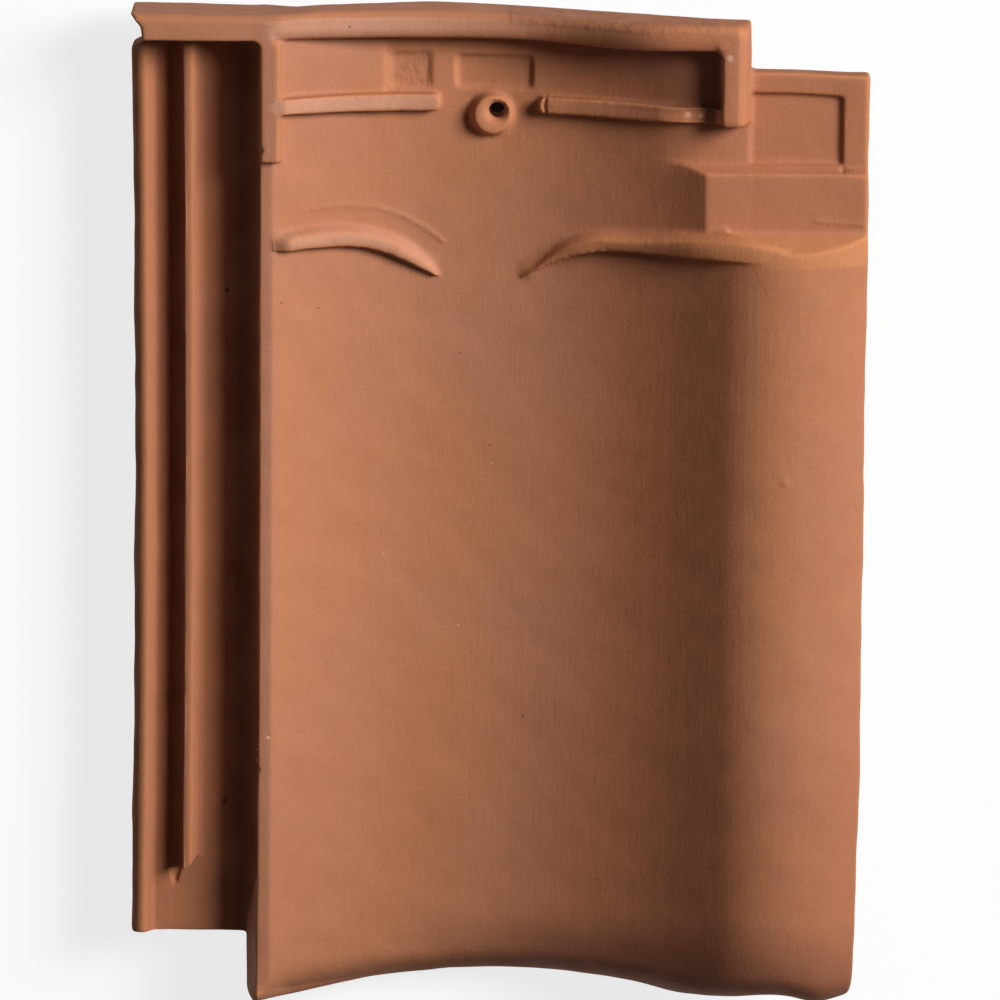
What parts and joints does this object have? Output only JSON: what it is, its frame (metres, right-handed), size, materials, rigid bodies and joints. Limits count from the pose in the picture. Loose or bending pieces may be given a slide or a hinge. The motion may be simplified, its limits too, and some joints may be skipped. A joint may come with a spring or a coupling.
{
  "type": "clay roof tile",
  "caption": "Interlocking S-shaped clay pantile with a side lock, raised head rim, water bars, nail hole, hanging nibs and a rounded foot.",
  "frame": {"origin": "centre of the footprint, on the level that the nib tips and the foot lip rest on", "axes": "+X across the slope from the side lock to the roll, +Y up the slope to the head, +Z out of the upper face"},
  "size_m": [0.267, 0.37, 0.0674],
  "materials": {
    "fired_clay": "matte unglazed terracotta"
  },
  "bodies": {
    "root": {"roof_tile": "fired_clay"}
  },
  "joints": []
}
